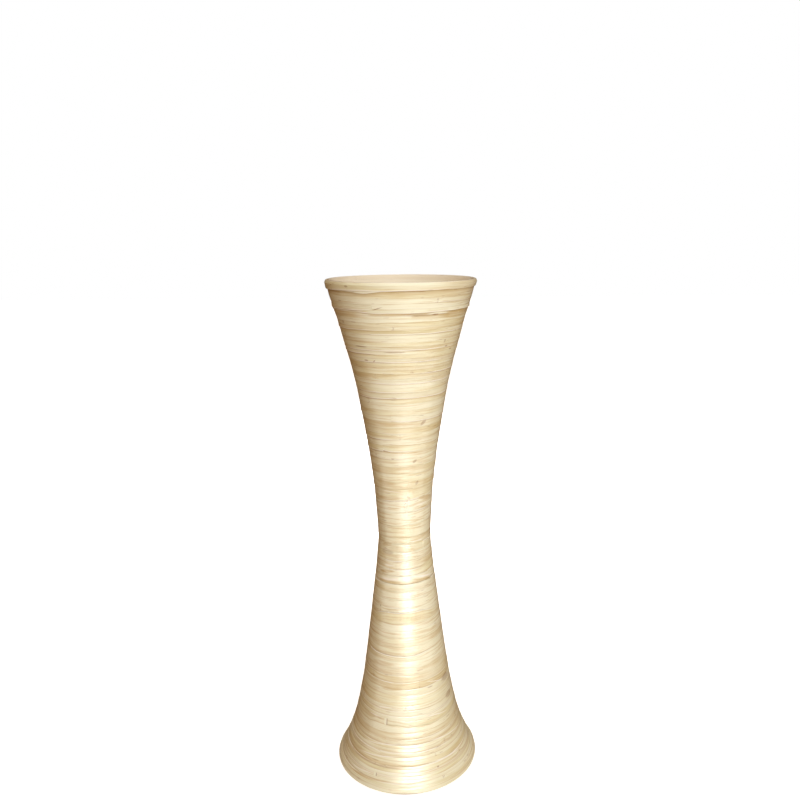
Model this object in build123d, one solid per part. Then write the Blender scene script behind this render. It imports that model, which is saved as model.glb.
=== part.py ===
from build123d import *
import os
from math import atan2, degrees, hypot, pi

os.makedirs("parts", exist_ok=True)

# Bamboo vase: two flared horns of wound bamboo strip, glued waist to waist over a sleeve,
# with a flat coiled disc in the foot. Millimetres, +Z up, origin in the middle of the foot.

# Overall form
lower_horn_height = 248.5
upper_horn_height = 259.5
waist_radius = 27.0
mouth_radius = 73.5
foot_radius = 75.0

# Bamboo strip: every strip stands upright, and is thinner where the horn is tight
strip_width = 16.0
strip_thickness = {"waist": 0.75, "body": 0.95, "flare": 1.35}
glue_gap = 0.05
butt_gap = 0.4
lead_in_height = 2.0

# Sleeve that joins the two horns inside the waist
sleeve_height = 36.0
sleeve_wall = 3.0
sleeve_clearance = 0.05

# Coiled disc that closes the foot
base_thickness = 6.0
base_recess = 1.5
base_clearance = 0.1
base_core_least_radius = 4.0
base_strip_count = 3

# Cutting overrun, past the widest radius
overrun = 5.0

# Each strip of a horn ends at a share of the way from waist to lip, across and along the axis:
# name, stock, share of the radius gained, share of the horn's height
upper_strip_shares = [
    ("upper_strip_1", "waist", 0.07, 0.21),
    ("upper_strip_2", "body", 0.185, 0.372),
    ("upper_strip_3", "body", 0.295, 0.49),
    ("upper_strip_4", "body", 0.4, 0.6),
    ("upper_strip_5", "body", 0.5, 0.679),
    ("upper_strip_6", "body", 0.59, 0.739),
    ("upper_strip_7", "body", 0.68, 0.799),
    ("upper_strip_8", "body", 0.77, 0.859),
    ("upper_strip_9", "body", 0.861, 0.909),
    ("upper_strip_10", "flare", 0.93, 0.95),
    ("rim_strip", "flare", 1.0, 0.978),
]
lower_strip_shares = [
    ("lower_strip_1", "waist", 0.067, 0.13),
    ("lower_strip_2", "body", 0.18, 0.306),
    ("lower_strip_3", "body", 0.29, 0.472),
    ("lower_strip_4", "body", 0.4, 0.624),
    ("lower_strip_5", "body", 0.5144, 0.737),
    ("lower_strip_6", "flare", 0.603, 0.809),
    ("lower_strip_7", "flare", 0.692, 0.861),
    ("lower_strip_8", "flare", 0.78, 0.904),
    ("lower_strip_9", "flare", 0.8692, 0.941),
    ("lower_strip_10", "flare", 0.935, 0.965),
    ("foot_strip", "flare", 1.0, 0.984),
]

# Where the outermost turn of each horn ends, as a share of a turn from +X: at the back, +Y
upper_end_turn_share = 0.25
lower_end_turn_share = 0.75


# One winding stage of a horn, in the horn's own frame: waist cut at z = 0, lip at the horn's height
class Stage:
    def __init__(self, name, thickness, inner_radius, ledge, end_inner_radius, end_ledge, start_turn):
        self.name = name
        self.thickness = thickness
        self.growth = thickness + glue_gap
        self.inner_radius = inner_radius
        self.ledge = ledge
        self.turns = (end_inner_radius - inner_radius) / self.growth
        self.rise = (end_ledge - ledge) / self.turns
        self.start_turn = start_turn

    def lead_in(self):
        """Carry the strip back below the waist cut, until only lead_in_height stands above it."""
        lead = (strip_width - lead_in_height) / self.rise
        self.inner_radius -= lead * self.growth
        self.ledge -= lead * self.rise
        self.turns += lead
        self.start_turn -= lead

    def end_inner_radius(self):
        return self.inner_radius + self.turns * self.growth

    def end_ledge(self):
        return self.ledge + self.turns * self.rise

    def developed_length(self):
        return pi * (self.inner_radius + self.end_inner_radius() + self.thickness) * self.turns


def stages(strip_shares, lip_radius, horn_height):
    """The strips of one horn, wound one after another on a single widening spiral."""
    first_inner = waist_radius - strip_thickness["waist"]
    inner_gain = lip_radius - strip_thickness["flare"] - first_inner
    inner_radius, ledge, turn, rows = first_inner, 0.0, 0.0, []
    for name, stock, radius_share, height_share in strip_shares:
        end_inner = first_inner + inner_gain * radius_share
        end_ledge = horn_height * height_share
        stage = Stage(name, strip_thickness[stock], inner_radius, ledge, end_inner, end_ledge, turn)
        turn += stage.turns
        inner_radius, ledge = end_inner, end_ledge
        rows.append(stage)
    rows[0].lead_in()
    return rows, turn


def wound_strip(stage, lip_radius, horn_height):
    """One upright strip swept along a widening helix, cut flat at the waist and at the lip."""
    butt_turns = butt_gap / (2 * pi * stage.end_inner_radius())
    turns = stage.turns - butt_turns
    path = Helix(
        pitch=hypot(stage.rise, stage.growth),
        height=stage.rise * turns,
        radius=stage.inner_radius + stage.thickness / 2,
        center=(0, 0, stage.ledge + strip_width / 2),
        cone_angle=degrees(atan2(stage.growth, stage.rise)),
    )
    upright = Plane(origin=path @ 0, x_dir=(1, 0, 0), z_dir=(0, 1, 0))
    strip = sweep(upright * Rectangle(stage.thickness, strip_width), path=path, is_frenet=True)
    top = stage.ledge + stage.rise * turns + strip_width
    if stage.ledge < 0 or top > horn_height:
        across = 2 * (lip_radius + overrun)
        strip = strip & Pos(0, 0, horn_height / 2) * Box(across, across, horn_height)
    return Rot(0, 0, 360 * stage.start_turn) * strip


def inner_radius_at(rows, height):
    """Least free radius inside a horn at a height above its waist cut."""
    ledge = height - strip_width
    for stage in rows:
        if ledge <= stage.end_ledge():
            return stage.inner_radius + (ledge - stage.ledge) / stage.rise * stage.growth
    return rows[-1].end_inner_radius()


def flat_coil(start_radius, turns, thickness, height):
    """Flat spiral of upright strip: half circles, centred by turns on the axis and beside it."""
    growth = thickness + glue_gap

    def run(offset):
        arcs = []
        for turn in range(turns):
            radius = start_radius + turn * growth + offset
            arcs.append(CenterArc((0, 0), radius, 0, 180))
            arcs.append(CenterArc((growth / 2, 0), radius + growth / 2, 180, 180))
        return arcs

    inner, outer = run(0), run(thickness)
    start = Line(inner[0] @ 0, outer[0] @ 0)
    end = Line(inner[-1] @ 1, outer[-1] @ 1)
    outline = Wire([*inner, end, *outer, start])
    return extrude(Face(outline), amount=height, dir=(0, 0, 1))


upper_stages, upper_turns = stages(upper_strip_shares, mouth_radius, upper_horn_height)
lower_stages, lower_turns = stages(lower_strip_shares, foot_radius, lower_horn_height)

# The lower horn is the same winding turned over about X, so both wind right-handed
waist_place = Pos(0, 0, lower_horn_height)
upper_place = waist_place * Rot(0, 0, 360 * (upper_end_turn_share - upper_turns))
lower_place = waist_place * Rot(180, 0, 0) * Rot(0, 0, 360 * (lower_end_turn_share - lower_turns))

nodes = {}
for stage in upper_stages:
    nodes[stage.name] = upper_place * wound_strip(stage, mouth_radius, upper_horn_height)
for stage in lower_stages:
    nodes[stage.name] = lower_place * wound_strip(stage, foot_radius, lower_horn_height)

# Sleeve: seats in the narrowest turns of both horns
sleeve_radius = min(upper_stages[0].inner_radius, lower_stages[0].inner_radius) - sleeve_clearance
bore_radius = sleeve_radius - sleeve_wall
sleeve = Cylinder(sleeve_radius, sleeve_height) - Cylinder(bore_radius, sleeve_height + 2 * overrun)
nodes["waist_sleeve"] = waist_place * sleeve

# Base disc: its top edge wedges inside the lower horn
seat_radius = inner_radius_at(lower_stages, lower_horn_height - base_recess - base_thickness) - base_clearance
base_growth = strip_thickness["flare"] + glue_gap
base_room = seat_radius - strip_thickness["flare"] - glue_gap - base_core_least_radius
base_turns = int(base_room / base_growth)
base_core_radius = seat_radius - strip_thickness["flare"] - base_turns * base_growth - glue_gap
coil_place = Pos(0, 0, base_recess)
nodes["base_core"] = coil_place * extrude(Circle(base_core_radius), amount=base_thickness)
coil_radius = base_core_radius + glue_gap
for number in range(base_strip_count):
    turns = (base_turns * (number + 1)) // base_strip_count - (base_turns * number) // base_strip_count
    coil = flat_coil(coil_radius, turns, strip_thickness["flare"], base_thickness)
    nodes[f"base_strip_{number + 1}"] = coil_place * coil
    coil_radius += turns * base_growth

for name, shape in nodes.items():
    export_step(shape, f"parts/{name}.step")

for stage in upper_stages + lower_stages:
    print(f"{stage.name}: {stage.turns:.2f} turns, rise {stage.rise:.2f}, length {stage.developed_length():.0f}")
print(f"sleeve radius {sleeve_radius:.3f}, bore {bore_radius:.3f}, base seat {seat_radius:.3f}, turns {base_turns}")
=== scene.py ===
"""A tall vase wound from flat bamboo strip: two flared horns joined at the waist, with a coiled foot."""

import logging
import math
from dataclasses import dataclass, field
from enum import Enum

import bmesh
import bpy
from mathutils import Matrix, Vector, noise


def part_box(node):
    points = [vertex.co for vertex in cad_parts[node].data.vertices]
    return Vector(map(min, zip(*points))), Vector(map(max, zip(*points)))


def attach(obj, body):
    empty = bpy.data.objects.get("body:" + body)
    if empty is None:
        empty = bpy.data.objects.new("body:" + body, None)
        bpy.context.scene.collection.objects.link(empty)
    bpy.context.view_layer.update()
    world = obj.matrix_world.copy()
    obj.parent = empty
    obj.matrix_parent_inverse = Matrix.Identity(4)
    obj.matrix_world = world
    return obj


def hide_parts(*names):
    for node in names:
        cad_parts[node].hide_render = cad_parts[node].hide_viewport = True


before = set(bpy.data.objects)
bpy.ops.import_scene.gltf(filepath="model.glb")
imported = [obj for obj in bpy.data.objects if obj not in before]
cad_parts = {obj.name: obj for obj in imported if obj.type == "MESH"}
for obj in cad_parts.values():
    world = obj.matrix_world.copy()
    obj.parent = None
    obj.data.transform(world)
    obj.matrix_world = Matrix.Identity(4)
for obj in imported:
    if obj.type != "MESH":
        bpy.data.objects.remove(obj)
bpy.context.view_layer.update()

log = logging.getLogger("bamboo_vase")

MM = 0.001
BODY = "root"
RUN = "strip_run"
LAP = "strip_lap"
EDGE = "strip_edge"
SHARP_ANGLE = math.radians(48)
MERGE_DISTANCE = 0.0005 * MM
DEGREES_A_TURN = 360
FRONT_DEGREES = -90
LOW_CORNER, HIGH_CORNER = 0, 6
CAP_SIDES = 5
FULL_SPREAD = 180.0
NOISE_LAYER = 0.37
WHITE = (1.0, 1.0, 1.0)

Material = bpy.types.Material
Socket = bpy.types.NodeSocket
Source = Socket | float | tuple[float, ...]
Parts = tuple[Socket, Socket, Socket]
Colour = tuple[float, float, float]
Place = tuple[float, float, float]
Point = tuple[float, float]


class Stock(Enum):
    """The three thicknesses that the strip is split to, in metres."""

    WAIST = 0.75 * MM
    BODY = 0.95 * MM
    FLARE = 1.35 * MM


class Facing(Enum):
    """Which way a horn opens from the waist."""

    UP = 1
    DOWN = -1


class Tint(Enum):
    """What a mark on the strip is: a brown stain or painted shadow, a tan stretch or painted shade, a
    painted highlight, or a pale edge of wear and painted highlight.
    """

    BROWN_AND_SHADOW = "brown"
    TAN_AND_SHADE = "tan"
    PAINTED_HIGHLIGHT = "pale"
    WORN_AND_HIGHLIGHT = "worn"


class Slot(Enum):
    """Material slots of the record."""

    STRIP = "lacquered_strip"
    COIL = "base_coil"
    BARE = "bare_bamboo"


@dataclass(frozen=True)
class Hand:
    """The hand's unevenness along a strip: how much, how quickly it changes, and a row of its own."""

    amount: float
    pace: float
    row: float = 0.0

    def at(self, along: float, seed: float = 0.0) -> float:
        """The repeatable unevenness at a place, about -amount to amount."""
        return self.amount * noise.noise(Vector((self.pace * along, seed + self.row, NOISE_LAYER)))


def smooth(low: float, high: float, value: float) -> float:
    """Ease from 0 at low to 1 at high.

    Args:
        low: the value that gives 0.
        high: the value that gives 1, which may be the smaller one.
        value: the value to ease.

    Returns:
        A share from 0 to 1.
    """
    share = min(max((value - low) / (high - low), 0.0), 1.0)
    return share * share * (3 - 2 * share)


def eased_wall(inner: float, outer: float, low: float, high: float, ease: float) -> list[Point]:
    """The outline of an upright wall with its four corners cut off.

    Args:
        inner: inner radius.
        outer: outer radius.
        low: height of the lower end.
        high: height of the upper end.
        ease: how far each corner is cut back.

    Returns:
        Eight points (radius, height), from the inner face's foot outwards and round.
    """
    foot = [(inner, low + ease), (inner + ease, low), (outer - ease, low), (outer, low + ease)]
    head = [(outer, high - ease), (outer - ease, high), (inner + ease, high), (inner, high - ease)]
    return foot + head


def placed_object(name: str, shape: bmesh.types.BMesh, finish: Material) -> bpy.types.Object:
    """Turn a shape into an object of the scene.

    Args:
        name: the object's name.
        shape: the finished bmesh, which is freed.
        finish: the object's material.

    Returns:
        The object, at the origin.
    """
    mesh = bpy.data.meshes.new(name)
    shape.to_mesh(mesh)
    shape.free()
    mesh.materials.append(finish)
    made = bpy.data.objects.new(name, mesh)
    bpy.context.scene.collection.objects.link(made)
    return made


class NodeSketch:
    """Short calls for drawing a node tree."""

    def __init__(self, tree: bpy.types.NodeTree) -> None:
        """Start with the tree emptied."""
        self.tree = tree
        tree.nodes.clear()

    def node(self, kind: str, *sources: Source, **settings: str) -> bpy.types.Node:
        """Add a node.

        Args:
            kind: Blender's name of the node, without its first word, ShaderNode.
            sources: sockets, numbers or colours for its first inputs, in order.
            settings: the node's settings.

        Returns:
            The node.
        """
        node = self.tree.nodes.new(f"ShaderNode{kind}")
        for name, value in settings.items():
            setattr(node, name, value)
        for source, socket in zip(sources, node.inputs):
            self.wire(source, socket)
        return node

    def wire(self, source: Source, socket: Socket) -> None:
        """Link a socket, or write a plain value, into an input.

        Args:
            source: the socket, number or colour.
            socket: the input that takes it.
        """
        if isinstance(source, Socket):
            self.tree.links.new(source, socket)
        elif isinstance(source, tuple):
            socket.default_value = (*source, 1.0)
        else:
            socket.default_value = source

    def fill(self, node: bpy.types.Node, **values: Source) -> None:
        """Wire a node's inputs by name, with _ for a space."""
        for name, value in values.items():
            self.wire(value, node.inputs[name.replace("_", " ")])

    def attribute(self, name: str) -> Parts:
        """The three parts of a vector attribute of the mesh."""
        return self.split(self.node("Attribute", attribute_name=name).outputs["Vector"])

    def split(self, vector: Socket) -> Parts:
        """X, Y and Z of a vector."""
        return tuple(self.node("SeparateXYZ", vector).outputs)

    def place(self) -> Parts:
        """X, Y and Z in the object's own frame, in metres."""
        return self.split(self.node("TexCoord").outputs["Object"])

    def math(self, operation: str, *values: Source) -> Socket:
        """The result of Blender's operation of that name on values in order."""
        return self.node("Math", *values, operation=operation).outputs[0]

    def product(self, first: Source, second: Source) -> Socket:
        """first times second."""
        return self.math("MULTIPLY", first, second)

    def total(self, first: Source, second: Source) -> Socket:
        """first plus second."""
        return self.math("ADD", first, second)

    def scaled(self, value: Source, factor: float, offset: float = 0.0) -> Socket:
        """value times factor plus offset."""
        return self.math("MULTIPLY_ADD", value, factor, offset)

    def seen(self) -> Socket:
        """Tell the rays that show a surface from those that light the vase.

        Returns:
            1 for rays of the eye, of reflections and through glass, and 0 for the others.
        """
        rays = self.node("LightPath").outputs
        either = self.math("MAXIMUM", rays["Is Camera Ray"], rays["Is Glossy Ray"])
        return self.math("MAXIMUM", either, rays["Is Transmission Ray"])

    def distance(self, x: Socket, y: Socket) -> Socket:
        """How far (x, y) lies from the vase's axis."""
        return self.math("SQRT", self.total(self.product(x, x), self.product(y, y)))

    def fade(
        self, value: Source, low: Source, high: float, start: float = 0.0, end: float = 1.0
    ) -> Socket:
        """Map value from low..high to start..end, eased and held outside.

        Args:
            value: the socket to map.
            low: the value that gives start.
            high: the value that gives end.
            start: result at low.
            end: result at high.

        Returns:
            The mapped socket.
        """
        mapped = self.node("MapRange", value, low, high, start, end, interpolation_type="SMOOTHSTEP")
        return mapped.outputs[0]

    def grain(self, scales: Place, parts: Parts, detail: float = 2.0, rough: float = 0.5) -> Socket:
        """Noise on three coordinates, each stretched by its own scale.

        Args:
            scales: how many features a metre, or a turn, holds along each coordinate.
            parts: the three coordinate sockets.
            detail: octaves.
            rough: how strongly the finer octaves show.

        Returns:
            The noise value, about 0 to 1.
        """
        joined = self.node("CombineXYZ", *map(self.product, parts, scales))
        node = self.node("TexNoise")
        self.fill(node, Vector=joined.outputs[0], Scale=1.0, Detail=detail, Roughness=rough)
        return node.outputs[0]

    def blend(self, share: Source, first: Source, second: Source) -> Socket:
        """Mix two colours.

        Args:
            share: how much of the second.
            first: a socket or a colour.
            second: a socket or a colour.

        Returns:
            The mixed colour.
        """
        node = self.node("Mix", share, data_type="RGBA")
        self.wire(first, node.inputs[6])
        self.wire(second, node.inputs[7])
        return node.outputs[2]

    def tinted(
        self, colour: Source, tint: Colour, pattern: Socket, low: float, high: float, most: float
    ) -> Socket:
        """A colour with a tint laid over it, from none where the pattern is at low to most at high."""
        return self.blend(self.fade(pattern, low, high, 0.0, most), colour, tint)


class MaterialSketch(NodeSketch):
    """The node tree of a new material, with an output and one main shader."""

    def __init__(self, name: str) -> None:
        """Start the material.

        Args:
            name: the material's name.
        """
        self.material = bpy.data.materials.new(name)
        self.material.use_nodes = True
        super().__init__(self.material.node_tree)
        self.shader = self.node("BsdfPrincipled")
        self.node("OutputMaterial", self.shader.outputs[0])

    def bump(self, height: Socket, distance: float) -> None:
        """Raise the surface.

        Args:
            height: the relief, about 0 to 1.
            distance: metres that a relief of 1 stands for.
        """
        node = self.node("Bump")
        self.fill(node, Strength=0.5, Distance=distance, Height=height)
        self.fill(self.shader, Normal=node.outputs[0])

    def sockets(self, **values: Source) -> None:
        """Set the shader's inputs by name, with _ for a space."""
        self.fill(self.shader, **values)


@dataclass(frozen=True)
class Mark:
    """A mark on the outside, in millimetres, with its bearing from the front in degrees."""

    height: float
    bearing: float
    half_length: float
    half_width: float
    depth: float
    slope: float = 0.0


@dataclass(frozen=True)
class StripFinish:
    """Sanded bamboo strip under clear gloss lacquer."""

    # worn: the pale of worn edges, also laid on ledges and marks as painted highlight
    worn: Colour = (0.98, 0.98, 0.92)
    pale: Colour = (0.90, 0.92, 0.76)
    straw: Colour = (0.83, 0.81, 0.56)
    tan: Colour = (0.62, 0.49, 0.25)
    brown: Colour = (0.28, 0.14, 0.055)
    # The colour of the dark joint line and of the painted shade beside it
    glue_and_shade: Colour = (0.36, 0.22, 0.10)
    inside: Colour = (0.95, 0.90, 0.82)
    inside_share: float = 0.7
    coat_tint: Colour = (0.985, 0.985, 0.955)
    coat_roughness: float = 0.25
    coat_ior: float = 1.55
    glue_line_and_shade_depth: float = 0.75
    node_spacing: float = 0.37
    node_half_width: float = 2.2 * MM
    node_bend: float = 1.2 * MM
    fibre_waver: float = 1.6 * MM
    fibre_relief: float = 0.06 * MM
    proud_step: Point = (0.7 * MM, 0.95 * MM)

    def material(self, name: str, marks: dict[Tint, tuple[Mark, ...]]) -> Material:
        """Draw the finish.

        Args:
            name: the material's name.
            marks: the marks on this horn, by tint.

        Returns:
            The material.
        """
        sketch = MaterialSketch(name)
        run = sketch.attribute(RUN)
        along, across, turn = run
        rise, gap, end = sketch.attribute(LAP)
        step, next_step, inward = sketch.attribute(EDGE)

        # Bamboo's own joints cross the strip every so often, and bend the fibres beside them
        wander = sketch.grain((2.1, 0.0, 0.0), run, 1.0, 0.5)
        spaced = sketch.math("FRACT", sketch.math("DIVIDE", sketch.total(along, wander), self.node_spacing))
        off_middle = sketch.math("ABSOLUTE", sketch.scaled(spaced, 1.0, -0.5))
        from_node = sketch.product(off_middle, self.node_spacing)
        swirl = sketch.fade(from_node, 5 * self.node_half_width, 0.0, 0.0, self.node_bend)
        waver = sketch.scaled(sketch.grain((26.0, 0.0, 2.3), run), self.fibre_waver)
        bent = (along, sketch.total(across, sketch.total(swirl, waver)), turn)

        fibre = sketch.grain((6.0, 900.0, 13.7), bent, 4.0, 0.62)
        hair = sketch.grain((30.0, 5200.0, 31.0), bent)
        band = sketch.grain((3.4, 430.0, 4.9), bent)
        tone = sketch.grain((1.1, 0.0, 1.63), run, 2.0, 0.7)
        broad = sketch.grain((2.4, 0.0, 0.37), run)
        patch = sketch.grain((5.0, 60.0, 0.83), run)

        # Tan and pale come and go with each grain: tint, grain, none at, most at, most
        colour = sketch.blend(sketch.fade(tone, 0.36, 0.62), self.straw, self.pale)
        for layer in (
            (self.tan, broad, 0.50, 0.62, 0.42),
            (self.pale, broad, 0.48, 0.38, 0.65),
            (self.tan, band, 0.50, 0.66, 0.50),
            (self.pale, band, 0.47, 0.34, 0.60),
            (self.tan, fibre, 0.50, 0.76, 0.60),
            (self.pale, fibre, 0.46, 0.26, 0.65),
            (self.tan, hair, 0.56, 0.80, 0.30),
        ):
            colour = sketch.tinted(colour, *layer)

        # Sanding runs through the strip's layers: pith at its own ledge, dense skin by the next one
        layers = sketch.math("DIVIDE", rise, sketch.total(rise, sketch.math("MAXIMUM", gap, 0.2 * MM)))
        skin = sketch.product(sketch.fade(layers, 0.30, 1.0), sketch.fade(patch, 0.44, 0.66, 0.0, 0.34))
        colour = sketch.blend(skin, colour, self.tan)

        # A standing ledge: a pale edge, partly wear and partly painted highlight, and a dark joint line
        # with painted shade above it
        # Pale edge at a standing ledge: partly wear, partly painted highlight
        by_ledge = sketch.fade(rise, 1.1 * MM, 0.4 * MM)
        edge_wear_and_highlight = sketch.product(by_ledge, sketch.fade(step, 0.1 * MM, 0.45 * MM))
        colour = sketch.blend(edge_wear_and_highlight, colour, self.worn)
        # Painted highlight: the strip's face just above a proud ledge is painted paler, as if lit
        near_ledge = sketch.fade(rise, 3.6 * MM, 2.2 * MM)
        proud = sketch.product(near_ledge, sketch.fade(step, *self.proud_step))
        colour = sketch.blend(sketch.product(proud, 0.8), colour, self.pale)
        # Painted shadow: the strip beneath a proud ledge is painted tan
        below_next = sketch.fade(gap, 4.4 * MM, 1.2 * MM)
        under = sketch.product(below_next, sketch.fade(next_step, *self.proud_step))
        colour = sketch.blend(sketch.product(under, 0.6), colour, self.tan)
        # Dark joint line that widens and deepens with the step over it: a real joint with painted shade
        broken = sketch.grain((22.0, 0.0, 2.7), run, 2.0, 0.6)
        reach = sketch.scaled(next_step, 2.0, 0.7 * MM)
        glue_line_and_shade = sketch.product(sketch.fade(gap, reach, 0.1 * MM), sketch.fade(broken, 0.36, 0.62, 0.35, 1.0))
        glue_line_and_shade = sketch.product(glue_line_and_shade, sketch.fade(next_step, 0.08 * MM, 0.7 * MM, 0.10, self.glue_line_and_shade_depth))
        colour = sketch.blend(glue_line_and_shade, colour, self.glue_and_shade)

        # Short dark flecks along the fibres, and pits at the bamboo's joints
        fleck = sketch.grain((90.0, 1100.0, 5.3), bent, 0.0, 0.5)
        colour = sketch.tinted(colour, self.brown, fleck, 0.77, 0.84, 0.5)
        pits = sketch.grain((700.0, 900.0, 9.1), bent, 1.0, 0.5)
        at_node = sketch.fade(from_node, self.node_half_width, 0.3 * self.node_half_width)
        pitted = sketch.product(at_node, sketch.fade(pits, 0.52, 0.64, 0.06, 0.60))
        colour = sketch.blend(pitted, colour, self.brown)

        # Where a strip's end was left lifted: a pale edge painted as a highlight, and the open joint beside
        # it
        colour = sketch.tinted(colour, self.pale, end, 3.4 * MM, 2.8 * MM, 0.9)
        colour = sketch.tinted(colour, self.brown, end, 0.7 * MM, 0.3 * MM, 0.8)

        # Marks: stains and tones, with painted shadow at the foot, painted shade under the collar and
        # painted highlights
        shades = {Tint.BROWN_AND_SHADOW: self.brown, Tint.TAN_AND_SHADE: self.tan, Tint.PAINTED_HIGHLIGHT: self.pale, Tint.WORN_AND_HIGHLIGHT: self.worn}
        for tint, shade in shades.items():
            if tint in marks:
                colour = self.marked(sketch, colour, shade, marks[tint], fibre)
        colour = sketch.blend(sketch.product(inward, self.inside_share), colour, self.inside)

        sketch.sockets(
            Base_Color=colour,
            Roughness=sketch.fade(fibre, 0.3, 0.8, 0.36, 0.52),
            Specular_IOR_Level=0.5,
            Coat_Weight=1.0,
            Coat_Roughness=self.coat_roughness,
            Coat_IOR=self.coat_ior,
            Coat_Tint=self.coat_tint,
        )
        relief = sketch.total(sketch.scaled(fibre, 0.7), sketch.scaled(pitted, -0.8))
        sketch.bump(sketch.total(relief, sketch.scaled(hair, 0.2)), self.fibre_relief)
        return sketch.material

    @staticmethod
    def marked(
        sketch: NodeSketch, colour: Socket, shade: Colour, marks: tuple[Mark, ...], fibre: Socket
    ) -> Socket:
        """Lay marks of one shade over a colour.

        Args:
            sketch: the tree to draw in.
            colour: the colour so far.
            shade: the colour that the marks lay down, stain or painted light.
            marks: where they lie.
            fibre: noise that breaks their edges.

        Returns:
            The colour with its marks.
        """
        x, y, z = sketch.place()
        bearing = sketch.math("ARCTAN2", x, sketch.product(y, -1.0))
        radius = sketch.distance(x, y)
        total = 0.0
        for mark in marks:
            turned = sketch.math("SUBTRACT", bearing, math.radians(mark.bearing))
            along = sketch.product(turned, radius)
            up = sketch.math("SUBTRACT", z, sketch.scaled(along, mark.slope, mark.height * MM))
            far = sketch.math("POWER", sketch.math("DIVIDE", along, mark.half_length * MM), 2.0)
            wide = sketch.math("POWER", sketch.math("DIVIDE", up, mark.half_width * MM), 2.0)
            laid = sketch.fade(sketch.total(far, wide), 1.0, 0.25, 0.0, mark.depth)
            total = sketch.math("MAXIMUM", total, laid)
        ragged = sketch.product(total, sketch.fade(fibre, 0.30, 0.55, 0.45, 1.0))
        return sketch.blend(ragged, colour, shade)


@dataclass(frozen=True)
class CoilFinish:
    """The foot's coil: strip on edge, sanded and thinly lacquered."""

    pale: Colour = (0.70, 0.54, 0.29)
    tan: Colour = (0.45, 0.30, 0.13)
    dust: Colour = (0.26, 0.17, 0.09)
    fibre_relief: float = 0.08 * MM

    def material(self, name: str) -> Material:
        """Draw the finish for the coil's strips.

        Args:
            name: the material's name.

        Returns:
            The material.
        """
        sketch = MaterialSketch(name)
        run = sketch.attribute(RUN)
        fibre = sketch.grain((9.0, 1300.0, 17.0), run, 3.0, 0.6)
        tone = sketch.grain((0.0, 0.0, 1.37), run, 1.0, 0.5)
        worn = sketch.grain((70.0, 70.0, 70.0), sketch.place(), 3.0, 0.6)
        colour = sketch.blend(sketch.fade(tone, 0.35, 0.65), self.tan, self.pale)
        colour = sketch.tinted(colour, self.tan, fibre, 0.45, 0.75, 0.6)
        colour = sketch.tinted(colour, self.dust, worn, 0.55, 0.75, 0.35)
        sketch.sockets(Base_Color=colour, Roughness=sketch.fade(fibre, 0.3, 0.7, 0.5, 0.68))
        sketch.bump(fibre, self.fibre_relief)
        return sketch.material


@dataclass(frozen=True)
class BareFinish:
    """Bare bamboo: fibres along one axis, pores across it."""

    pale: Colour = (0.74, 0.58, 0.33)
    tan: Colour = (0.50, 0.34, 0.16)
    pore: Colour = (0.22, 0.13, 0.06)
    fibre_relief: float = 0.1 * MM

    def material(self, name: str) -> Material:
        """Draw the finish for the sleeve and the coil's core, whose fibres run upright.

        Args:
            name: the material's name.

        Returns:
            The material.
        """
        sketch = MaterialSketch(name)
        place = sketch.place()
        fibre = sketch.grain((900.0, 900.0, 12.0), place, 3.0, 0.6)
        broad = sketch.grain((120.0, 120.0, 9.0), place)
        pores = sketch.grain((900.0, 900.0, 3.0), place, 1.0, 0.4)
        colour = sketch.blend(sketch.fade(broad, 0.38, 0.64), self.pale, self.tan)
        colour = sketch.tinted(colour, self.tan, fibre, 0.50, 0.75, 0.5)
        colour = sketch.tinted(colour, self.pore, pores, 0.64, 0.74, 0.6)
        sketch.sockets(Base_Color=colour, Roughness=sketch.fade(fibre, 0.3, 0.7, 0.55, 0.75))
        sketch.bump(fibre, self.fibre_relief)
        return sketch.material


@dataclass(frozen=True)
class Section:
    """One cross-section of a strip.

    Attributes:
        angle: radians from +X.
        points: its outline, as (radius, height).
        laps: for each point, how far above its own ledge and below the next one it lies.
        run: metres along the strip.
        turn: a number that tells the turns apart.
        end: metres to a lifted end, or the strip's width where it has none.
        steps: how far its own ledge and the next one stand out.
        inward: the numbers of the points on the inner face.
    """

    angle: float
    points: tuple[Point, ...]
    laps: tuple[Point, ...]
    run: float
    turn: float
    end: float
    steps: Point = (0.0, 0.0)
    inward: tuple[int, ...] = ()


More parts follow.
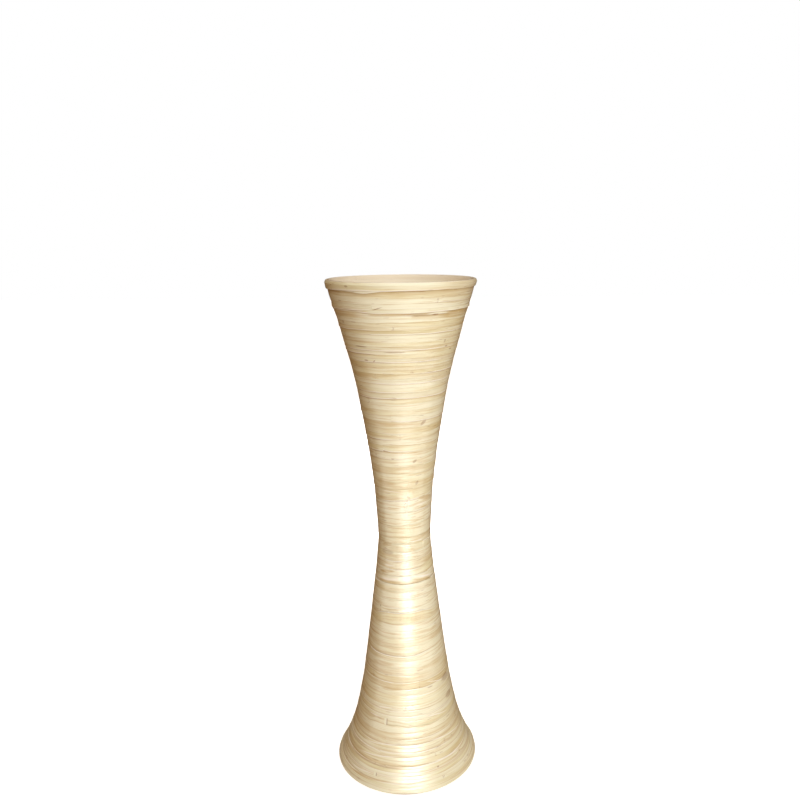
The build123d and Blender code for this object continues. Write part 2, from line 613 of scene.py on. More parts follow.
class Piece:
    """Shared ways of finishing a mesh and handing it to the frame."""

    @staticmethod
    def hand_in(
        shape: bmesh.types.BMesh, node: str, name: str, slot: Slot, finish: Material
    ) -> None:
        """Turn a shape into a piece that rides the vase and stands for its node.

        Args:
            shape: the finished bmesh, which is freed.
            node: the node that the piece stands for.
            name: the piece's name.
            slot: the record's slot; not used.
            finish: the piece's material.
        """
        bmesh.ops.recalc_face_normals(shape, faces=shape.faces)
        piece = placed_object(name, shape, finish)
        piece.data.shade_smooth()
        piece.data.set_sharp_from_angle(angle=SHARP_ANGLE)
        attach(piece, BODY)
        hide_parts(node)
        own = (piece.bound_box[LOW_CORNER], piece.bound_box[HIGH_CORNER])
        off = max((Vector(corner) - Vector(asked)).length for corner, asked in zip(own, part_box(node)))
        log.info("%s: %d faces, %.2f mm from its node's box", name, len(piece.data.polygons), off / MM)

    @staticmethod
    def band(sections: list[Section]) -> bmesh.types.BMesh:
        """Wrap a flat grid round a row of sections, as one closed band.

        Args:
            sections: the strip's sections in order, all with as many points.

        Returns:
            The closed shape, with its run, lap and edge layers.
        """
        rows = len(sections[0].points)
        columns = len(sections) - 1
        shape = bmesh.new()
        run, lap, edge = [shape.verts.layers.float_vector.new(name) for name in (RUN, LAP, EDGE)]
        bmesh.ops.create_grid(shape, x_segments=columns, y_segments=rows, size=0.5)
        for vert in shape.verts:
            section = sections[round((vert.co.x + 0.5) * columns)]
            row = round((vert.co.y + 0.5) * rows) % rows
            radius, height = section.points[row]
            vert.co = (radius * math.cos(section.angle), radius * math.sin(section.angle), height)
            rise, gap = section.laps[row]
            vert[run] = (section.run, max(rise, 0.0), section.turn)
            vert[lap] = (rise, gap, section.end)
            vert[edge] = (*section.steps, 1.0 if row in section.inward else 0.0)
        bmesh.ops.remove_doubles(shape, verts=shape.verts, dist=MERGE_DISTANCE)
        rims = [rim for rim in shape.edges if rim.is_boundary]
        bmesh.ops.holes_fill(shape, edges=rims, sides=0)
        return shape


@dataclass(frozen=True)
class Strip:
    """One strip's stretch of a horn's winding, by its end's share of the way from waist to lip."""

    node: str
    stock: Stock
    radius_share: float
    height_share: float
    lifted_start: bool = False


@dataclass(frozen=True)
class Knot:
    """Where a strip starts: turns from the waist, inner radius, ledge height and thickness."""

    turn: float
    inner: float
    ledge: float
    thickness: float


@dataclass(frozen=True)
class ProudLedge:
    """A stretch where a ledge was sanded less, in millimetres, with bearing and half span in degrees."""

    height: float
    bearing: float
    half_span: float
    step: float


@dataclass(frozen=True)
class LedgeMark:
    """A proud stretch laid on the winding: middle and half span in turns, step, shift and full share."""

    turn: float
    half: float
    step: float
    shift: float
    full: float = 0.45

    def weight(self, turn: float) -> float:
        """How strongly the stretch acts at a turn, from 0 to 1."""
        return smooth(1.0, self.full, abs(turn - self.turn) / self.half)


@dataclass
class Horn:
    """One flared horn, wound from the waist out on a single widening spiral.

    Its own frame has the waist cut at height 0 and the lip at its height.
    """

    facing: Facing
    height: float
    lip_radius: float
    strips: tuple[Strip, ...]
    end_turn_share: float
    waist_height: float
    proud: tuple[ProudLedge, ...] = ()
    waist_radius: float = 27.0 * MM
    width: float = 16.0 * MM
    glue_gap: float = 0.05 * MM
    butt_gap: float = 0.15 * MM
    lead_in_height: float = 2.0 * MM
    lip_round: float = 2.4 * MM
    collar_height: float = 0.0
    collar_swell: float = 0.0
    collar_lead: float = 0.5
    swell_start: float = 0.12
    swell_end: float = 3.0
    corner: float = 0.14 * MM
    sanded_step: float = 0.05 * MM
    rough_step: float = 0.50 * MM
    rough_from: float = 0.06
    rough_gain: float = 2.8
    roughness: Hand = Hand(1.0, 2.7, 11.0)
    slow_wave: Hand = Hand(0.10, 2.3)
    quick_wave: Hand = Hand(0.05, 8.1, 5.0)
    waver: Hand = Hand(0.35 * MM, 220.0, 7.0)
    belly: float = 0.03 * MM
    face_shares: tuple[float, ...] = (0.0, 0.12, 0.35, 0.65, 1.0)
    steps_a_turn: int = 180
    scarf_length: float = 9.0 * MM
    scarf_height: float = 0.9 * MM
    seed: float = 0.0
    seed_turns: float = 10.0
    last_turn: float = 0.0
    collar_turn: float = 0.0
    knots: list[Knot] = field(default_factory=list)
    marks: list[LedgeMark] = field(default_factory=list)

    def __post_init__(self) -> None:
        """Lay out the winding, and find where its collar and its proud ledges lie."""
        first_inner = self.waist_radius - self.strips[0].stock.value
        gain = self.lip_radius - self.strips[-1].stock.value - first_inner
        turn, inner, ledge = 0.0, first_inner, 0.0
        for strip in self.strips:
            thick = strip.stock.value
            self.knots.append(Knot(turn, inner, ledge, thick))
            end_inner = first_inner + gain * strip.radius_share
            turn += (end_inner - inner) / (thick + self.glue_gap)
            inner, ledge = end_inner, self.height * strip.height_share
        self.knots.append(Knot(turn, inner, ledge, thick))
        self.last_turn = turn
        if self.collar_swell:
            self.collar_turn = self.turn_at(self.collar_height, 0.0) - self.collar_lead
        for proud in self.proud:
            middle = self.turn_at(proud.height * MM, proud.bearing)
            wanted = self.facing.value * (proud.height * MM - self.waist_height)
            shift = wanted - self.at(middle)[1]
            self.marks.append(LedgeMark(middle, proud.half_span / DEGREES_A_TURN, proud.step * MM, shift))

    def stretch(self, turn: float) -> tuple[Knot, Knot]:
        """The knots at the start and at the end of the strip that a turn falls in."""
        number = sum(turn >= knot.turn for knot in self.knots[1:-1])
        return self.knots[number], self.knots[number + 1]

    def at(self, turn: float) -> Point:
        """The plain winding at a turn.

        Args:
            turn: turns from the waist, which may lie a little past either end.

        Returns:
            The strip's inner radius and the height of its ledge, in the horn's own frame.
        """
        start, end = self.stretch(turn)
        share = (turn - start.turn) / (end.turn - start.turn)
        inner = start.inner + (end.inner - start.inner) * share + self.swell(turn)
        return inner, start.ledge + (end.ledge - start.ledge) * share

    def swell(self, turn: float) -> float:
        """How far the turns from the collar to the lip were let out, in metres."""
        begun = smooth(self.collar_turn - self.swell_start, self.collar_turn, turn)
        return self.collar_swell * begun * smooth(self.last_turn, self.last_turn - self.swell_end, turn)

    def thickness(self, turn: float) -> float:
        """The strip's thickness at a turn, in metres."""
        return self.stretch(turn)[0].thickness

    def rise(self, turn: float) -> float:
        """How far one more turn climbs, in metres."""
        start, end = self.stretch(turn)
        return (end.ledge - start.ledge) / (end.turn - start.turn)

    def angle(self, turn: float) -> float:
        """The angle from +X of a turn, in the vase's frame, in radians."""
        return self.facing.value * math.tau * (turn - self.last_turn + self.end_turn_share)

    def turn_at(self, height: float, bearing: float) -> float:
        """The turn whose ledge passes nearest a point on the outside.

        Args:
            height: height above the floor.
            bearing: degrees from the front, positive to the right.

        Returns:
            Turns from the waist.
        """
        from_x = (bearing + FRONT_DEGREES) / DEGREES_A_TURN
        phase = self.facing.value * from_x - self.end_turn_share + self.last_turn
        wanted = self.facing.value * (height - self.waist_height)
        turns = [phase % 1 + whole for whole in range(int(self.last_turn))]
        return min(turns, key=lambda turn: abs(self.at(turn)[1] - wanted))

    def ledge(self, turn: float) -> float:
        """The ledge's height with the hand's unevenness.

        Args:
            turn: turns from the waist.

        Returns:
            The height in the horn's own frame.
        """
        inner, ledge = self.at(turn)
        wave = self.slow_wave.at(turn, self.seed) + self.quick_wave.at(turn, self.seed)
        waver = self.waver.at(turn * inner, self.seed)
        weights = [mark.weight(turn) for mark in self.marks]
        shift = sum(weight * mark.shift for weight, mark in zip(weights, self.marks))
        return ledge + wave * self.rise(turn) + waver + shift / max(sum(weights), 1.0)

    def step(self, turn: float) -> float:
        """How far the ledge still stands out after sanding.

        Args:
            turn: turns from the waist.

        Returns:
            Metres, at most the strip's thickness.
        """
        rough = max(self.roughness.at(turn, self.seed) - self.rough_from, 0.0)
        step = self.sanded_step + (self.rough_step - self.sanded_step) * min(self.rough_gain * rough, 1.0)
        for mark in self.marks:
            step += (mark.step - step) * mark.weight(turn)
        return min(step, self.thickness(turn))

    def lip_drop(self, inward: float) -> float:
        """How far the rounded lip lies below its plane, at a distance in from the outside."""
        across = self.lip_round - min(max(inward, 0.0), self.lip_round)
        return self.lip_round - math.sqrt(self.lip_round**2 - across**2)

    def section(self, turn: float, run: float, end: float, scarf: float) -> Section:
        """One cross-section of the strip, cut by the waist plane and the rounded lip.

        Args:
            turn: turns from the waist.
            run: metres along the whole winding.
            end: metres to the strip's lifted start, or its width where it has none.
            scarf: how much of the slanting end cut is left here, from 0 to 1.

        Returns:
            The section, in the vase's frame.
        """
        inner, plain_ledge = self.at(turn)
        thick = self.thickness(turn)
        outer = inner + thick
        ledge = self.ledge(turn) + self.scarf_height * scarf
        low = max(ledge, 0.0)
        reach = plain_ledge + self.width
        last = min(turn + math.floor(self.last_turn - turn), self.last_turn)
        lip_outer = self.at(last)[0] + self.thickness(last)
        top_out = min(reach, self.height - self.lip_drop(lip_outer - outer))
        top_mid = min(reach, self.height - self.lip_drop(lip_outer - outer + thick / 2))
        top_in = min(reach, self.height - self.lip_drop(lip_outer - inner))
        covered = turn + 1 <= self.last_turn
        next_ledge = self.ledge(turn + 1) if covered else top_out
        tight = min(self.corner, (top_out - low) / 5)
        cover = min(max(next_ledge, low + 2 * tight), top_out - 2 * tight)
        step = self.step(turn) if ledge > 0 else thick
        small = min(tight, step / 2)

        def face(share: float) -> Point:
            """A point up the sanded face, with a slight belly.

            Args:
                share: how far up, from 0 to 1.

            Returns:
                Its radius and height.
            """
            belly = self.belly * 4 * share * (1 - share)
            radius = inner + step + (thick - step) * share + belly * (1 - step / thick)
            return radius, low + small + (cover - low - small) * share

        points = [(inner, low + small), (inner + small, low), (inner + step - small, low)]
        points += [face(share) for share in self.face_shares]
        points += [(outer, top_out - small), (outer - small, top_out), (inner + thick / 2, top_mid)]
        points += [(inner + small, top_in), (inner, top_in - small), (inner, (top_in + low) / 2)]
        laps = tuple((up - ledge, next_ledge - up if covered else self.width) for _, up in points)
        placed = tuple((radius, self.waist_height + self.facing.value * up) for radius, up in points)
        steps = (step, self.step(turn + 1) if covered else 0.0)
        inward = (0, len(points) - 3, len(points) - 2, len(points) - 1)
        row = turn + self.seed * self.seed_turns
        return Section(self.angle(turn), placed, laps, run, row, end, steps, inward)

    def wind(self, number: int) -> list[Section]:
        """The sections of one strip, from its start to its butt joint.

        Args:
            number: the strip's place from the waist.

        Returns:
            The sections in order.
        """
        start, finish = self.knots[number].turn, self.knots[number + 1].turn
        if number == 0:
            start -= (self.width - self.lead_in_height) / self.rise(0.0)
        finish -= self.butt_gap / (math.tau * self.knots[number + 1].inner)
        count = round((finish - start) * self.steps_a_turn)
        turns = [start + (finish - start) * column / count for column in range(count + 1)]
        fine = [share / (4 * self.steps_a_turn) for share in (1, 2)]
        turns = sorted(turns + [start + share for share in fine] + [finish - share for share in fine])
        lifted = self.strips[number].lifted_start
        sections = []
        for turn in turns:
            walked = self.developed(start, turn)
            end = walked if lifted else self.width
            scarf = smooth(self.scarf_length, 0.0, walked) if number and not lifted else 0.0
            sections.append(self.section(turn, self.developed(0.0, turn), end, scarf))
        return sections

    def developed(self, start: float, finish: float) -> float:
        """Length of strip between two turns, in metres."""
        return math.pi * (self.at(start)[0] + self.at(finish)[0] + self.thickness(start)) * (finish - start)

    def build(self, finish: Material) -> None:
        """Model every strip and hand it in.

        Args:
            finish: the horn's material.
        """
        for number, strip in enumerate(self.strips):
            shape = Piece.band(self.wind(number))
            Piece.hand_in(shape, strip.node, f"{strip.node}_wound", Slot.STRIP, finish)


@dataclass
class FootCoil:
    """The disc in the foot: strip coiled flat round a core."""

    recess: float = 1.5 * MM
    height: float = 6.0 * MM
    glue_gap: float = 0.05 * MM
    corner: float = 0.2 * MM
    low_edge: Hand = Hand(0.18 * MM, 2.1, 40.0)
    high_edge: Hand = Hand(0.18 * MM, 1.9, 50.0)
    steps_a_turn: int = 96
    strip_count: int = 3
    whole_slack: float = 1e-9
    end_slack: float = 1e-6
    core_segments: int = 48
    core_edge: float = 0.35 * MM
    core_dishes: tuple[Point, ...] = ((3, -0.08 * MM), (4, -0.05 * MM))

    def section(self, start_radius: float, turn: float, run: float) -> Section:
        """One cross-section of the coil.

        Args:
            start_radius: inner radius of this strip's first turn.
            turn: turns from that first turn's start.
            run: metres along the strip.

        Returns:
            The section, with the half-turn step of the coil in its radius.
        """
        thick = Stock.FLARE.value
        growth = thick + self.glue_gap
        whole = math.floor(turn + self.whole_slack)
        angle = math.tau * (turn - whole)
        inner = start_radius + whole * growth
        if angle > math.pi:
            shift = growth / 2
            across = shift * math.sin(angle)
            inner = shift * math.cos(angle) + math.sqrt((inner + shift) ** 2 - across**2)
        row = start_radius / MM + turn
        low = self.recess + max(self.low_edge.at(row), 0.0)
        high = self.recess + self.height - max(self.high_edge.at(row), 0.0)
        points = tuple(eased_wall(inner, inner + thick, low, high, self.corner))
        laps = tuple((height - low, self.height) for _, height in points)
        return Section(angle, points, laps, run, row, self.height)

    def build(self, strip_finish: Material, core_finish: Material) -> None:
        """Model the core and the coiled strips and hand them in.

        Args:
            strip_finish: the coiled strips' material.
            core_finish: the core's material.
        """
        low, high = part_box("base_core")
        core_radius = (high.x - low.x) / 2
        self.build_core(core_radius, core_finish)
        growth = Stock.FLARE.value + self.glue_gap
        start_radius = core_radius + self.glue_gap
        for number in range(1, self.strip_count + 1):
            node = f"base_strip_{number}"
            turns = round((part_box(node)[1].x - start_radius) / growth)
            count = turns * self.steps_a_turn
            run, sections = 0.0, []
            for column in range(count + 1):
                turn = min(turns * column / count, turns - self.end_slack)
                section = self.section(start_radius, turn, run)
                run += math.tau * section.points[0][0] / self.steps_a_turn
                sections.append(section)
            Piece.hand_in(Piece.band(sections), node, f"{node}_coiled", Slot.COIL, strip_finish)
            start_radius += turns * growth

    def build_core(self, radius: float, finish: Material) -> None:
        """The plug that the coil is wound on, with softened edges and slightly dished ends.

        Args:
            radius: the plug's radius.
            finish: its material.
        """
        shape = bmesh.new()
        bmesh.ops.create_cone(
            shape,
            cap_ends=True,
            segments=self.core_segments,
            radius1=radius,
            radius2=radius,
            depth=self.height,
        )
        bmesh.ops.translate(shape, verts=shape.verts, vec=(0, 0, self.recess + self.height / 2))
        rims = [
            edge for edge in shape.edges if any(len(face.verts) >= CAP_SIDES for face in edge.link_faces)
        ]
        bmesh.ops.bevel(
            shape, geom=rims, offset=self.core_edge, segments=3, profile=0.5, affect="EDGES", material=-1
        )
        caps = [face for face in shape.faces if len(face.verts) >= CAP_SIDES]
        for part, depth in self.core_dishes:
            bmesh.ops.inset_individual(shape, faces=caps, thickness=radius / part, depth=depth)
        Piece.hand_in(shape, "base_core", "base_core_plug", Slot.COIL, finish)


@dataclass
class WaistSleeve:
    """The short tube inside the waist that both horns are glued over."""

    edge: float = 0.5 * MM
    segments: int = 128
    wall: float = 3.0 * MM

    def build(self, finish: Material) -> None:
        """Spin the tube's wall, with eased edges, round the vase's axis.

        Args:
            finish: the tube's material.
        """
        low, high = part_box("waist_sleeve")
        wall = eased_wall(high.x - self.wall, high.x, low.z, high.z, self.edge)
        shape = bmesh.new()
        verts = [shape.verts.new((radius, 0, height)) for radius, height in wall]
        edges = [shape.edges.new((verts[number - 1], vert)) for number, vert in enumerate(verts)]
        bmesh.ops.spin(
            shape,
            geom=verts + edges,
            cent=(0, 0, 0),
            axis=(0, 0, 1),
            angle=math.tau,
            steps=self.segments,
            use_merge=True,
        )
        Piece.hand_in(shape, "waist_sleeve", "waist_sleeve_tube", Slot.BARE, finish)


@dataclass(frozen=True)
class Softbox:
    """A soft rectangular lamp, aimed at a height on the vase's axis."""

    name: str
    place: Place
    aim: float
    width: float
    height: float
    radiance: float
    spread: float = FULL_SPREAD
    lights: bool = True
    glares: bool = True

    def build(self) -> None:
        """Hang the lamp, with as much power as its size and spread ask for."""
        lamp = bpy.data.lights.new(self.name, "AREA")
        lamp.shape = "RECTANGLE"
        lamp.size, lamp.size_y = self.width, self.height
        lamp.spread = math.radians(self.spread)
        half = lamp.spread / 2
        share = 1.0 - half / math.tan(half) if self.spread < FULL_SPREAD else 1.0
        lamp.energy = self.radiance * math.pi * self.width * self.height * share
        holder = bpy.data.objects.new(self.name, lamp)
        holder.location = self.place
        towards = Vector((0.0, 0.0, self.aim)) - Vector(self.place)
        holder.rotation_euler = towards.to_track_quat("-Z", "Y").to_euler()
        holder.visible_camera = False
        holder.visible_diffuse = self.lights
        holder.visible_glossy = self.glares
        bpy.context.scene.collection.objects.link(holder)


@dataclass(frozen=True)
class Flag:
    """A dark card round the vase, seen only in its lacquer: upright, or lying on the table."""

    name: str
    place: Place
    turned: float
    width: float
    height: float
    tilt: float = 90.0
    colour: Colour = (0.12, 0.055, 0.02)

    def build(self) -> None:
        """Place the card."""
        shape = bmesh.new()
        bmesh.ops.create_grid(shape, x_segments=1, y_segments=1, size=0.5)
        bmesh.ops.scale(shape, verts=shape.verts, vec=(self.width, self.height, 1.0))
        sketch = MaterialSketch(self.name)
        sketch.sockets(Base_Color=self.colour, Roughness=1.0, Specular_IOR_Level=0.0)
        card = placed_object(self.name, shape, sketch.material)
        card.location = self.place
        card.rotation_euler = (math.radians(self.tilt), 0.0, math.radians(self.turned))
        card.visible_camera = False
        card.visible_shadow = False
        card.visible_diffuse = False


@dataclass
class Studio:
    """A white table and surround, soft lamps, and the camera where the photograph was taken."""

    camera_place: Place = (0.0306, -0.7426, 0.5493)
    camera_tilt: float = 77.748
    camera_roll: float = 0.38
    lens: float = 34.56
    sensor_width: float = 36.0
    shift: float = -0.0403
    floor_half: float = 6.0
    floor_colour: Colour = (0.86, 0.86, 0.86)
    floor_bounce: Colour = (0.52, 0.41, 0.30)
    floor_lift: float = 0.55
    lift_from: float = 0.08
    lift_to: float = 0.6
    surround: Colour = (0.36, 0.225, 0.12)
    lamps: tuple[Softbox, ...] = (
        Softbox("front", (0.56, -1.29, 0.66), 0.30, 1.0, 1.0, 5.2, glares=False),
        Softbox("top", (-0.1, 0.1, 1.5), 0.3, 0.7, 0.7, 3.0),
        Softbox("back_fill", (0.0, 1.4, 1.0), 0.25, 1.2, 1.0, 4.0, glares=False),
        Softbox("glare", (0.07, -0.46, 0.085), 0.06, 0.25, 0.17, 13.5, spread=60.0, lights=False),
        Softbox("sheen", (0.06, -0.47, 0.09), 0.10, 0.74, 0.18, 7.0, spread=80.0, lights=False),
    )
    flags: tuple[Flag, ...] = (
        Flag("flag_back_left", (-0.43, 0.45, 0.55), 44.0, 1.25, 1.1),
        Flag("flag_back_right", (0.43, 0.45, 0.55), -44.0, 1.25, 1.1),
        Flag("flag_left", (-0.90, -0.10, 0.55), -84.0, 0.8, 1.1),
        Flag("flag_right", (0.90, -0.10, 0.55), 84.0, 0.8, 1.1),
        Flag("flag_front", (0.0, -1.0, 0.55), 0.0, 0.9, 1.1),
        Flag("flag_front_left", (-0.62, -0.62, 0.55), -45.0, 0.9, 1.1),
        Flag("flag_front_right", (0.62, -0.62, 0.55), 45.0, 0.9, 1.1),
        Flag("flag_table", (0.0, 0.58, 0.002), 0.0, 2.6, 1.3, tilt=0.0),
    )

    def build(self) -> None:
        """Set up the table, the surround, the lamps and the camera."""
        self.build_floor()
        self.build_surround()
        for piece in (*self.lamps, *self.flags):
            piece.build()
        self.build_camera()
        bpy.context.scene.view_settings.view_transform = "Standard"

    def build_floor(self) -> None:
        """A large white table, lifted to white where the camera sees it lit."""
        shape = bmesh.new()
        bmesh.ops.create_grid(shape, x_segments=1, y_segments=1, size=self.floor_half)
        sketch = MaterialSketch("table_white")
        seen = sketch.seen()
        x, y, _ = sketch.place()
        lift = sketch.fade(sketch.distance(x, y), self.lift_from, self.lift_to, self.floor_lift, 1.0)
        sketch.sockets(
            Base_Color=sketch.blend(seen, self.floor_bounce, self.floor_colour),
            Roughness=0.9,
            Specular_IOR_Level=0.0,
            Emission_Color=WHITE,
            Emission_Strength=sketch.product(seen, lift),
        )
        placed_object("table", shape, sketch.material)

    def build_surround(self) -> None:
        """White to the eye and in reflections, and an even soft light on the vase."""
        world = bpy.data.worlds.new("surround")
        world.use_nodes = True
        sketch = NodeSketch(world.node_tree)
        glow = sketch.node("Background", sketch.blend(sketch.seen(), self.surround, WHITE))
        sketch.node("OutputWorld", glow.outputs[0])
        bpy.context.scene.world = world

    def build_camera(self) -> None:
        """The photograph's viewpoint."""
        lens = bpy.data.cameras.new("camera")
        lens.sensor_fit = "HORIZONTAL"
        lens.sensor_width = self.sensor_width
        lens.lens = self.lens
        lens.shift_x = self.shift
        camera = bpy.data.objects.new("camera", lens)
        camera.location = self.camera_place
        camera.rotation_euler = (math.radians(self.camera_tilt), math.radians(self.camera_roll), 0.0)
        bpy.context.scene.collection.objects.link(camera)
        bpy.context.scene.camera = camera


UPPER_STRIPS = (
    Strip("upper_strip_1", Stock.WAIST, 0.07, 0.21),
    Strip("upper_strip_2", Stock.BODY, 0.185, 0.372),
    Strip("upper_strip_3", Stock.BODY, 0.295, 0.49),
    Strip("upper_strip_4", Stock.BODY, 0.4, 0.6),
    Strip("upper_strip_5", Stock.BODY, 0.5, 0.679),
    Strip("upper_strip_6", Stock.BODY, 0.59, 0.739),
    Strip("upper_strip_7", Stock.BODY, 0.68, 0.799),
    Strip("upper_strip_8", Stock.BODY, 0.77, 0.859),
    Strip("upper_strip_9", Stock.BODY, 0.861, 0.909),
    Strip("upper_strip_10", Stock.FLARE, 0.93, 0.95),
    Strip("rim_strip", Stock.FLARE, 1.0, 0.978),
)

LOWER_STRIPS = (
    Strip("lower_strip_1", Stock.WAIST, 0.067, 0.13),
    Strip("lower_strip_2", Stock.BODY, 0.18, 0.306),
    Strip("lower_strip_3", Stock.BODY, 0.29, 0.472),
    Strip("lower_strip_4", Stock.BODY, 0.4, 0.624),
    Strip("lower_strip_5", Stock.BODY, 0.5144, 0.737),
    Strip("lower_strip_6", Stock.FLARE, 0.603, 0.809, lifted_start=True),
    Strip("lower_strip_7", Stock.FLARE, 0.692, 0.861),
    Strip("lower_strip_8", Stock.FLARE, 0.78, 0.904),
    Strip("lower_strip_9", Stock.FLARE, 0.8692, 0.941),
    Strip("lower_strip_10", Stock.FLARE, 0.935, 0.965, lifted_start=True),
    Strip("foot_strip", Stock.FLARE, 1.0, 0.984),
)

UPPER_MARKS = {
    Tint.BROWN_AND_SHADOW: (
        Mark(504.2, -40.0, 2.6, 1.2, 0.4),
        Mark(484.9, -16.0, 5.6, 0.6, 0.85, 0.3),
        Mark(478.8, 31.1, 4.0, 1.3, 0.5),
        Mark(448.5, -40.1, 9.0, 0.7, 0.6),
        Mark(447.5, 50.6, 2.2, 0.9, 0.6),
        Mark(444.3, -4.7, 12.5, 0.6, 0.8, 0.01),
        Mark(444.1, 58.8, 3.0, 0.9, 0.6),
        Mark(435.7, -36.5, 3.0, 0.8, 0.7),
        Mark(435.3, -26.7, 1.5, 0.8, 0.8, 0.5),
        Mark(374.2, 32.1, 3.6, 2.4, 0.55, 0.6),
        Mark(337.8, -15.0, 2.0, 0.5, 0.6),
        Mark(335.1, 21.5, 2.6, 2.0, 0.5, 0.5),
        Mark(312.0, 27.4, 2.0, 2.4, 0.5, 0.5),
        Mark(297.0, 11.4, 2.2, 1.8, 0.45, -0.5),
    ),
    Tint.TAN_AND_SHADE: (
        Mark(373.6, -11.7, 24.0, 2.6, 0.7),
        # These two marks under the collar's ledge are painted shade
        Mark(478.6, -64.0, 44.0, 3.4, 0.8),
        Mark(477.8, 58.0, 30.0, 4.0, 0.8, 0.03),
        Mark(453.6, -32.0, 26.0, 1.4, 0.6, 0.03),
        Mark(419.0, -50.0, 20.0, 2.4, 0.6),
        Mark(311.5, -34.0, 15.0, 3.0, 0.7),
        Mark(294.0, 52.0, 13.0, 3.0, 0.7, -0.15),
        Mark(295.8, -29.0, 17.0, 2.6, 0.75, 0.08),
        Mark(352.2, 7.0, 30.0, 0.7, 0.8),
        Mark(344.0, 7.0, 24.0, 0.8, 0.8),
        Mark(322.5, -12.0, 20.0, 0.8, 0.7, 0.05),
        Mark(285.6, -18.0, 9.0, 0.8, 0.9),
        Mark(285.1, 39.0, 10.0, 0.8, 0.9, 0.05),
        Mark(273.3, 9.0, 27.0, 0.7, 0.7, -0.07),
        Mark(264.3, 3.0, 27.0, 0.9, 0.8),
    ),
    # Painted highlights: pale bands where light falls at the front, on the lip, the collar's band and the
    # neck
    Tint.PAINTED_HIGHLIGHT: (
        Mark(505.2, 8.0, 48.0, 3.6, 0.75),
        Mark(486.4, 18.0, 52.0, 3.2, 0.7),
        Mark(457.5, 2.0, 46.0, 6.5, 0.5),
        Mark(410.0, 5.0, 44.0, 4.5, 0.5),
    ),
    # Pale lines along ledges: partly wear, partly painted highlight
    Tint.WORN_AND_HIGHLIGHT: (
        Mark(303.0, -25.0, 13.0, 0.6, 0.8),
        Mark(289.0, 42.0, 10.0, 0.6, 0.8, 0.1),
        Mark(250.0, 28.0, 12.0, 0.6, 0.9, 0.03),
    ),
}

LOWER_MARKS = {
    Tint.BROWN_AND_SHADOW: (
        Mark(97.0, 66.0, 9.0, 4.0, 0.45),
        Mark(96.5, 34.6, 4.0, 0.7, 0.6),
        Mark(116.6, 21.0, 4.4, 0.5, 0.5),
        Mark(79.1, 0.6, 1.6, 1.6, 0.5),
        Mark(77.3, 67.0, 8.0, 4.0, 0.4),
        Mark(77.1, -0.4, 2.6, 0.6, 0.55),
        Mark(25.2, -29.6, 5.0, 0.8, 0.5),
        Mark(21.6, -22.0, 50.0, 0.9, 0.42),
        # Painted shadow: a dark line along the foot's bottom edge
        Mark(0.4, 2.0, 20.0, 0.8, 0.8),
        Mark(18.6, 30.2, 1.6, 0.9, 0.6),
        Mark(238.0, -38.0, 9.0, 3.6, 0.30),
    ),
    Tint.TAN_AND_SHADE: (
        Mark(23.4, -24.0, 60.0, 3.0, 0.6),
        Mark(8.6, -32.0, 30.0, 1.2, 0.7, 0.05),
        Mark(98.0, -18.0, 14.0, 2.6, 0.7, 0.1),
        Mark(122.0, -34.0, 16.0, 3.0, 0.5, 0.1),
        Mark(245.5, -40.0, 8.0, 2.4, 0.7, 0.2),
        Mark(217.5, -38.0, 12.0, 1.8, 0.9, 0.17),
        Mark(207.6, -26.0, 17.0, 1.2, 0.8, 0.08),
        Mark(208.8, 40.0, 14.0, 1.4, 0.8, -0.17),
        Mark(191.8, -8.0, 26.0, 0.7, 0.7, 0.05),
        Mark(180.4, -8.0, 26.0, 0.8, 0.7, 0.08),
        Mark(165.0, 0.0, 30.0, 0.9, 0.8, 0.03),
    ),
    # Pale lines along ledges: partly wear, partly painted highlight
    Tint.WORN_AND_HIGHLIGHT: (
        Mark(224.4, -33.0, 8.6, 0.7, 0.9, 0.06),
        Mark(210.4, -28.0, 15.0, 1.5, 1.0, 0.12),
        Mark(212.2, 40.0, 16.0, 1.2, 1.0, -0.15),
        Mark(182.0, -10.0, 24.0, 0.6, 0.8, 0.08),
        Mark(104.2, -25.0, 10.0, 0.6, 0.9, 0.04),
        Mark(100.0, 44.0, 13.0, 0.6, 0.9, -0.28),
        Mark(90.4, 24.0, 26.0, 0.6, 0.9, 0.01),
        Mark(77.6, -26.0, 9.0, 0.6, 0.9, 0.15),
        Mark(66.8, -39.0, 10.5, 0.6, 0.9, 0.08),
        Mark(66.0, 42.0, 17.0, 0.6, 0.9, -0.17),
        Mark(41.5, 50.0, 30.0, 0.7, 0.9, -0.10),
        Mark(41.0, -26.0, 25.0, 0.7, 0.9, 0.12),
        Mark(29.6, -28.0, 28.0, 0.8, 0.9, 0.12),
        Mark(23.0, 44.0, 24.0, 0.7, 0.9, -0.06),
        Mark(11.6, -43.0, 20.0, 0.7, 0.9, 0.09),
    ),
}

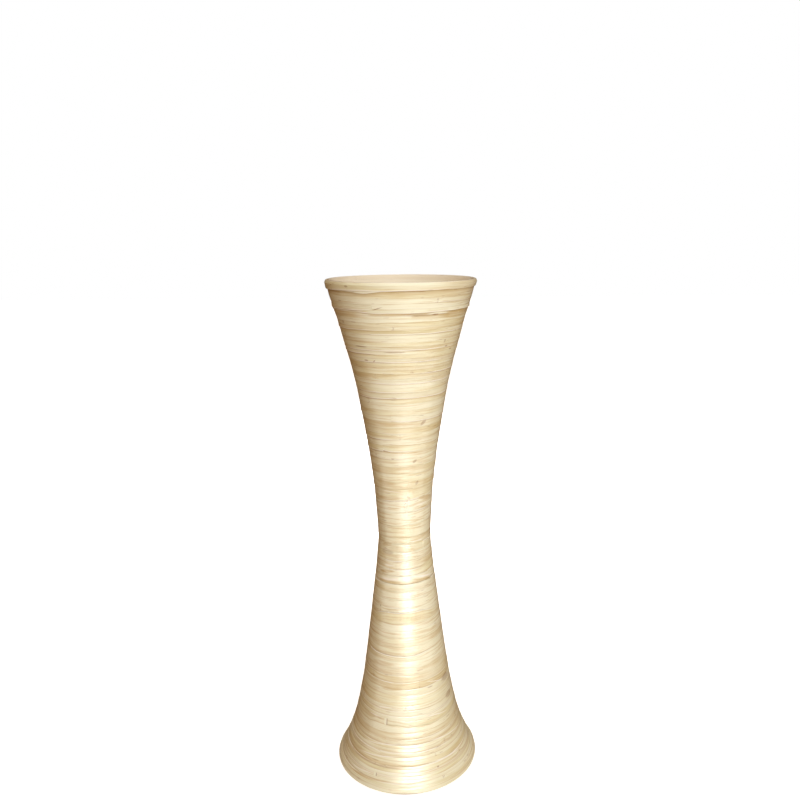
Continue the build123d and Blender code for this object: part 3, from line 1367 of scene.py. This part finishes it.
UPPER_PROUD = (
    ProudLedge(501.3, 38.0, 72.0, 1.2),
    ProudLedge(501.3, -60.0, 36.0, 0.15),
    ProudLedge(497.9, -50.0, 50.0, 1.15),
    ProudLedge(482.6, -62.0, 50.0, 0.45),
    ProudLedge(480.6, 0.0, 40.0, 1.0),
    ProudLedge(479.4, 28.0, 26.0, 1.1),
    ProudLedge(481.8, 64.0, 36.0, 1.0),
)

LOWER_PROUD = (
    ProudLedge(230.2, -14.4, 35.0, 0.45),
    ProudLedge(221.9, -2.0, 50.0, 0.40),
    ProudLedge(206.5, 0.0, 95.0, 0.95),
    ProudLedge(177.5, 0.0, 60.0, 0.6),
    ProudLedge(131.8, -17.8, 60.0, 0.6),
    ProudLedge(67.5, -21.8, 26.0, 0.12),
    ProudLedge(61.3, -21.8, 26.0, 0.04),
    ProudLedge(42.0, -8.4, 70.0, 0.30),
    ProudLedge(35.6, -8.4, 80.0, 0.35),
    ProudLedge(23.2, -8.4, 110.0, 0.45),
    ProudLedge(8.5, -35.0, 70.0, 0.30),
)


def main() -> None:
    """Build the vase piece by piece, then the studio round it."""
    logging.basicConfig(level=logging.INFO, format="%(name)s: %(message)s")
    sleeve_low, sleeve_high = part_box("waist_sleeve")
    waist_height = (sleeve_low.z + sleeve_high.z) / 2
    total_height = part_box("rim_strip")[1].z
    upper = Horn(
        facing=Facing.UP,
        height=total_height - waist_height,
        lip_radius=73.5 * MM,
        strips=UPPER_STRIPS,
        end_turn_share=0.25,
        waist_height=waist_height,
        proud=UPPER_PROUD,
        collar_height=480.6 * MM,
        collar_swell=0.1 * MM,
        seed=1.0,
    )
    upper.build(StripFinish().material("lacquered_strip_upper", UPPER_MARKS))
    lower = Horn(
        facing=Facing.DOWN,
        height=waist_height,
        lip_radius=75.0 * MM,
        strips=LOWER_STRIPS,
        end_turn_share=0.75,
        waist_height=waist_height,
        proud=LOWER_PROUD,
        lip_round=0.4 * MM,
        sanded_step=0.02 * MM,
        rough_step=0.28 * MM,
        belly=0.01 * MM,
        seed=2.0,
    )
    lower.build(StripFinish(glue_line_and_shade_depth=0.42).material("lacquered_strip_lower", LOWER_MARKS))
    WaistSleeve().build(BareFinish().material("bare_sleeve"))
    FootCoil().build(CoilFinish().material("coil_strip"), BareFinish().material("bare_core"))
    Studio().build()


if __name__ == "__main__":
    main()
